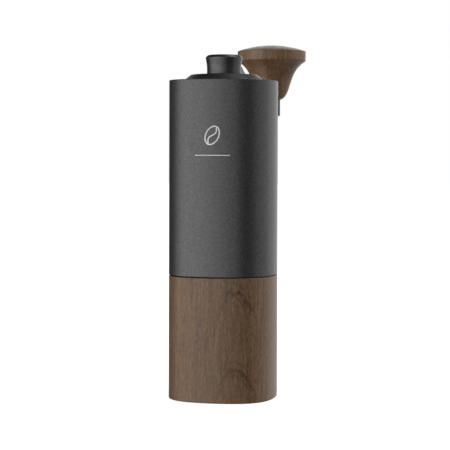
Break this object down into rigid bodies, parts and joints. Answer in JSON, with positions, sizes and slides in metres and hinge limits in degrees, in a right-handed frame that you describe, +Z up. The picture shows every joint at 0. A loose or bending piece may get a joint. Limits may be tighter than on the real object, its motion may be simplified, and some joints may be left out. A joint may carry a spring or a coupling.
{
  "type": "hand crank coffee grinder",
  "caption": "Hand crank burr coffee grinder: rounded-square dark metal body on a wooden catch cup, with a lift-off lid, a folding crank arm and a turned wooden knob.",
  "frame": {"origin": "centre of the base pad's underside, on the shaft's axis", "axes": "+Z up along the shaft; +Y along the crank arm in its rest position"},
  "size_m": [0.052, 0.1712, 0.1806],
  "materials": {
    "charcoal_metal": "matte charcoal coating with a fine grain",
    "walnut": "satin walnut, grain upright",
    "bright_steel": "machined stainless steel",
    "burr_steel": "hardened steel, milled",
    "bare_aluminium": "machined aluminium",
    "brass": "turned brass",
    "black_plastic": "moulded black plastic",
    "black_rubber": "black silicone"
  },
  "bodies": {
    "cup": {"cup_sleeve": "walnut", "cup_liner": "bright_steel", "base_pad": "black_rubber"},
    "seal": {"neck_seal": "black_rubber"},
    "grinder": {"body_shell": "charcoal_metal", "neck_ring": "bare_aluminium", "burr_carrier": "bare_aluminium", "burr_grub_screw_1": "bright_steel", "burr_grub_screw_2": "bright_steel", "burr_grub_screw_3": "bright_steel", "outer_burr": "burr_steel", "lower_bracket": "bare_aluminium", "upper_bracket": "bare_aluminium", "lower_bearing_outer": "bright_steel", "upper_bearing_outer": "bright_steel"},
    "lid": {"lid": "charcoal_metal", "lid_gasket": "black_rubber", "lid_bush": "black_plastic"},
    "crank": {"crank_hub": "charcoal_metal", "hub_cap": "charcoal_metal", "hub_screw": "bright_steel", "drive_socket": "bright_steel", "crank_link": "charcoal_metal"},
    "arm": {"crank_arm": "charcoal_metal", "hinge_pin": "bright_steel", "knob_axle": "bright_steel", "axle_clip": "bright_steel"},
    "knob": {"knob": "walnut", "knob_bush_lower": "brass", "knob_bush_upper": "brass"},
    "shaft": {"drive_shaft": "bright_steel", "shaft_clip": "bright_steel", "dial_stop_clip": "bright_steel", "preload_spring": "bright_steel", "lower_bearing_inner": "bright_steel", "upper_bearing_inner": "bright_steel"},
    "burr": {"inner_burr": "burr_steel", "spring_washer": "bright_steel", "click_plate": "bright_steel"},
    "dial": {"grind_dial": "black_plastic", "detent_ball": "bright_steel", "detent_spring": "bright_steel"}
  },
  "joints": [
    {"name": "body_lift", "type": "slide", "parent": "cup", "child": "seal", "axis": [0, 0, 1], "range_m": [0, 0.009]},
    {"name": "body_turn", "type": "hinge", "parent": "seal", "child": "grinder", "pos_m": [0, 0, 0.06], "axis": [0, 0, 1], "range_deg": [0, 540]},
    {"name": "lid_lift", "type": "slide", "parent": "grinder", "child": "lid", "axis": [0, 0, 1], "range_m": [0, 0.045]},
    {"name": "crank_turn", "type": "hinge", "parent": "lid", "child": "crank", "pos_m": [0, 0, 0.158], "axis": [0, 0, 1], "continuous": true},
    {"name": "arm_fold", "type": "hinge", "parent": "crank", "child": "arm", "pos_m": [0, 0.035, 0.157], "axis": [-1, 0, 0], "range_deg": [0, 82]},
    {"name": "knob_spin", "type": "hinge", "parent": "arm", "child": "knob", "pos_m": [0, 0.126, 0.1496], "axis": [0, 0, 1], "continuous": true},
    {"name": "shaft_turn", "type": "hinge", "parent": "grinder", "child": "shaft", "pos_m": [0, 0, 0.1], "axis": [0, 0, 1], "continuous": true},
    {"name": "burr_travel", "type": "slide", "parent": "shaft", "child": "burr", "axis": [0, 0, -1], "range_m": [0, 0.0015], "deforming": ["preload_spring"]},
    {"name": "dial_turn", "type": "hinge", "parent": "burr", "child": "dial", "pos_m": [0, 0, 0.0592], "axis": [0, 0, 1], "range_deg": [0, 720]}
  ],
  "couplings": [
    {"joint": "body_turn", "follows": "body_lift", "rad_per_m": 1047.2},
    {"joint": "shaft_turn", "follows": "crank_turn", "ratio": 1},
    {"joint": "dial_turn", "follows": "burr_travel", "rad_per_m": 8377.5}
  ]
}
